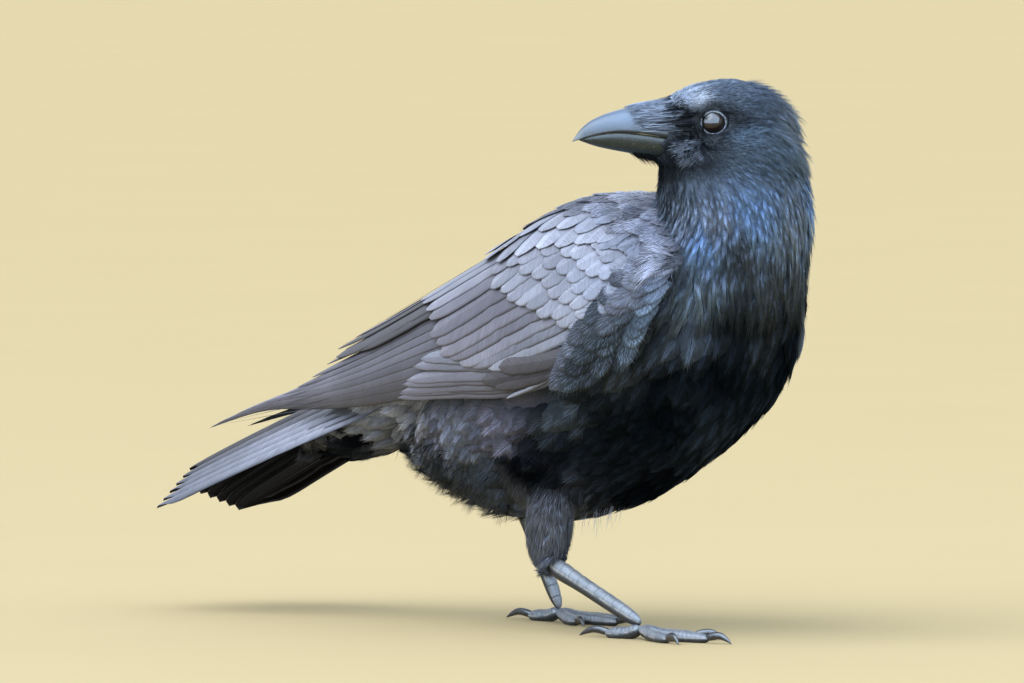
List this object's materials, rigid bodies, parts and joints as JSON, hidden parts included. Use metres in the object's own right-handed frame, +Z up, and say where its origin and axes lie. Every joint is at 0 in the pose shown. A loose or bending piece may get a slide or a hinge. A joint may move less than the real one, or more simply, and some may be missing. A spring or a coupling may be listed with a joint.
{
  "type": "carrion crow",
  "caption": "Life-size carrion crow standing in mid-step, with folded wings, long tail and its head turned back over its right shoulder.",
  "frame": {"origin": "on the floor, under the middle of the whole bird's box", "axes": "+X the way the body faces, +Y the bird's left, +Z up"},
  "size_m": [0.3658, 0.1266, 0.2519],
  "materials": {
    "plumage": "matt black feathers with a blue sheen",
    "flight_feathers": "satin grey-black long feathers, a little brown where worn",
    "bill_upper": "horn, satin blue-grey black",
    "bill_lower": "horn, satin green-grey black",
    "eye": "wet and glossy, very dark brown with a black pupil",
    "leg_scales": "dark grey scales",
    "claw": "black horn"
  },
  "bodies": {
    "root": {"bill_lower": "bill_lower", "bill_upper": "bill_upper", "claw_left_hind": "claw", "claw_left_inner": "claw", "claw_left_middle": "claw", "claw_left_outer": "claw", "claw_right_hind": "claw", "claw_right_inner": "claw", "claw_right_middle": "claw", "claw_right_outer": "claw", "eye_left": "eye", "eye_right": "eye", "head": "plumage", "nasal_bristles": "plumage", "neck": "plumage", "tail_coverts": "plumage", "tail_feather_left_1": "flight_feathers", "tail_feather_left_2": "flight_feathers", "tail_feather_left_3": "flight_feathers", "tail_feather_left_4": "flight_feathers", "tail_feather_left_5": "flight_feathers", "tail_feather_left_6": "flight_feathers", "tail_feather_right_1": "flight_feathers", "tail_feather_right_2": "flight_feathers", "tail_feather_right_3": "flight_feathers", "tail_feather_right_4": "flight_feathers", "tail_feather_right_5": "flight_feathers", "tail_feather_right_6": "flight_feathers", "tarsus_left": "leg_scales", "tarsus_right": "leg_scales", "thigh_left": "plumage", "thigh_right": "plumage", "toe_left_hind": "leg_scales", "toe_left_inner": "leg_scales", "toe_left_middle": "leg_scales", "toe_left_outer": "leg_scales", "toe_right_hind": "leg_scales", "toe_right_inner": "leg_scales", "toe_right_middle": "leg_scales", "toe_right_outer": "leg_scales", "trunk": "plumage", "wing_left_coverts": "flight_feathers", "wing_left_primaries": "flight_feathers", "wing_left_primary_coverts": "flight_feathers", "wing_left_secondaries": "flight_feathers", "wing_right_coverts": "flight_feathers", "wing_right_primaries": "flight_feathers", "wing_right_primary_coverts": "flight_feathers", "wing_right_secondaries": "flight_feathers"}
  },
  "joints": []
}
